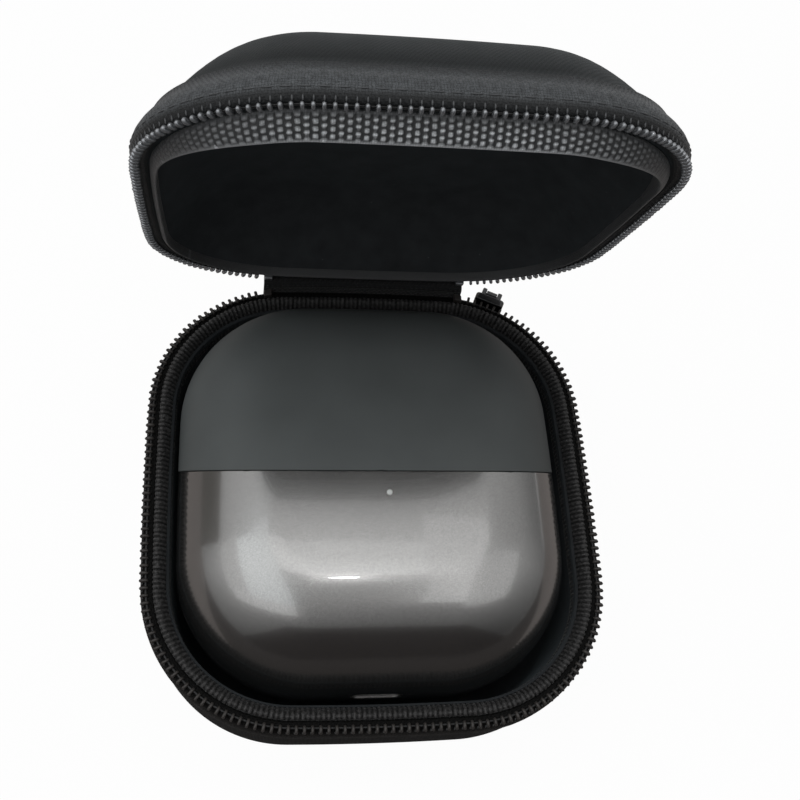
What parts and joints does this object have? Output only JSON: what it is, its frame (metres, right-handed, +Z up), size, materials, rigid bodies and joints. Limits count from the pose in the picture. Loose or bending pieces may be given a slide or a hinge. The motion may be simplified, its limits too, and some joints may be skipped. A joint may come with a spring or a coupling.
{
  "type": "electric shaver hard case",
  "caption": "Clamshell hard case with a zipped rim and fabric hinge, open, holding a palm-sized foil shaver with a pull-off cap.",
  "frame": {"origin": "middle of the case's flat underside", "axes": "+Y towards the hinge, +X to the right seen from the front edge, +Z up; the lid stands open at rest"},
  "size_m": [0.0832, 0.0999, 0.1144],
  "materials": {
    "shell_fabric": "matte black woven fabric laminated over moulded foam",
    "lining_fabric": "matte near-black brushed lining",
    "ribbon": "ribbed woven edge binding, dark grey with a slight sheen",
    "zipper_tape": "woven tape",
    "zipper_coil": "glossy black nylon coil",
    "slider_metal": "satin black lacquer",
    "body_plastic": "glossy grey-brown metallic lacquer",
    "cap_plastic": "fine matte charcoal",
    "seal_rubber": "matte",
    "lamp": "clear light pipe",
    "steel": "satin",
    "black_plastic": "fine matte",
    "board": "satin solder mask",
    "cell": "smooth wrap",
    "winding": "enamelled wire",
    "magnet": "plated"
  },
  "bodies": {
    "base": {"base_shell": "shell_fabric", "base_lining": "lining_fabric", "base_binding": "ribbon", "base_zipper_tape": "zipper_tape", "base_zipper_teeth": "zipper_coil", "base_zipper_stops": "zipper_coil", "hinge_strip": "shell_fabric"},
    "lid": {"lid_shell": "shell_fabric", "lid_lining": "lining_fabric", "lid_binding": "ribbon", "lid_zipper_tape": "zipper_tape", "lid_zipper_teeth": "zipper_coil", "lid_zipper_stops": "zipper_coil"},
    "slider": {"zipper_slider": "slider_metal"},
    "pull": {"zipper_pull": "slider_metal"},
    "shaver": {"body_front_shell": "body_plastic", "body_rear_shell": "body_plastic", "body_gasket": "seal_rubber", "usb_port": "steel", "indicator_lamp": "lamp", "button_spring": "steel", "button_gasket": "seal_rubber", "tact_switch": "black_plastic", "chassis": "black_plastic", "case_screws": "steel", "battery": "cell", "charge_board": "board", "control_board": "board", "motor_yoke": "steel", "motor_coil": "winding", "motor_springs": "steel", "head_base": "black_plastic", "release_spring_left": "steel", "release_spring_right": "steel", "float_springs": "steel"},
    "cap": {"cap_shell": "cap_plastic"},
    "power_button": {"power_button": "black_plastic"},
    "drive": {"motor_armature": "steel", "motor_magnets": "magnet", "drive_pin": "steel"},
    "foil_head": {"foil_frame": "black_plastic", "outer_foil_rear": "steel", "outer_foil_front": "steel", "slit_foil": "steel"},
    "cutters": {"blade_carrier": "black_plastic", "inner_blade_rear": "steel", "inner_blade_front": "steel", "slit_blade": "steel"},
    "release_left": {"release_button_left": "black_plastic"},
    "release_right": {"release_button_right": "black_plastic"}
  },
  "joints": [
    {"name": "lid_hinge", "type": "hinge", "parent": "base", "child": "lid", "pos_m": [0, 0.0441, 0.0294], "axis": [-1, 0, 0], "range_deg": [-71.2, 90], "deforming": ["hinge_strip"]},
    {"name": "slider_travel", "type": "hinge", "parent": "base", "child": "slider", "pos_m": [0.01475, 0.01689, 0.0265], "axis": [0, 0, -1], "range_deg": [0, 62]},
    {"name": "pull_swing", "type": "hinge", "parent": "slider", "child": "pull", "pos_m": [0.02674, 0.04389, 0.0265], "axis": [-0.914, 0.4057, 0], "range_deg": [-95, 0]},
    {"name": "shaver_lift", "type": "slide", "parent": "base", "child": "shaver", "axis": [0, -0.15, 0.9887], "range_m": [0, 0.05]},
    {"name": "cap_pull_off", "type": "slide", "parent": "shaver", "child": "cap", "axis": [0, 1, 0], "range_m": [0, 0.01]},
    {"name": "power_button_press", "type": "slide", "parent": "shaver", "child": "power_button", "axis": [0, 0, 1], "range_m": [0, 0.0005], "stiffness_N_per_m": 800, "springref_m": -0.001, "deforming": ["button_spring"]},
    {"name": "motor_drive", "type": "slide", "parent": "shaver", "child": "drive", "axis": [1, 0, 0], "range_m": [-0.0012, 0.0012], "stiffness_N_per_m": 600, "deforming": ["motor_springs"]},
    {"name": "foil_float", "type": "slide", "parent": "shaver", "child": "foil_head", "axis": [0, -1, 0], "range_m": [0, 0.0015], "stiffness_N_per_m": 700, "springref_m": -0.0015, "deforming": ["float_springs"]},
    {"name": "cutter_travel", "type": "slide", "parent": "foil_head", "child": "cutters", "axis": [1, 0, 0], "range_m": [-0.0012, 0.0012]},
    {"name": "release_left_press", "type": "slide", "parent": "shaver", "child": "release_left", "axis": [1, 0, 0], "range_m": [0, 0.0008], "stiffness_N_per_m": 600, "springref_m": -0.001, "deforming": ["release_spring_left"]},
    {"name": "release_right_press", "type": "slide", "parent": "shaver", "child": "release_right", "axis": [-1, 0, 0], "range_m": [0, 0.0008], "stiffness_N_per_m": 600, "springref_m": -0.001, "deforming": ["release_spring_right"]}
  ],
  "couplings": [
    {"joint": "cap_pull_off", "follows": "shaver_lift", "ratio": 0.2},
    {"joint": "cutter_travel", "follows": "motor_drive", "ratio": 1}
  ]
}
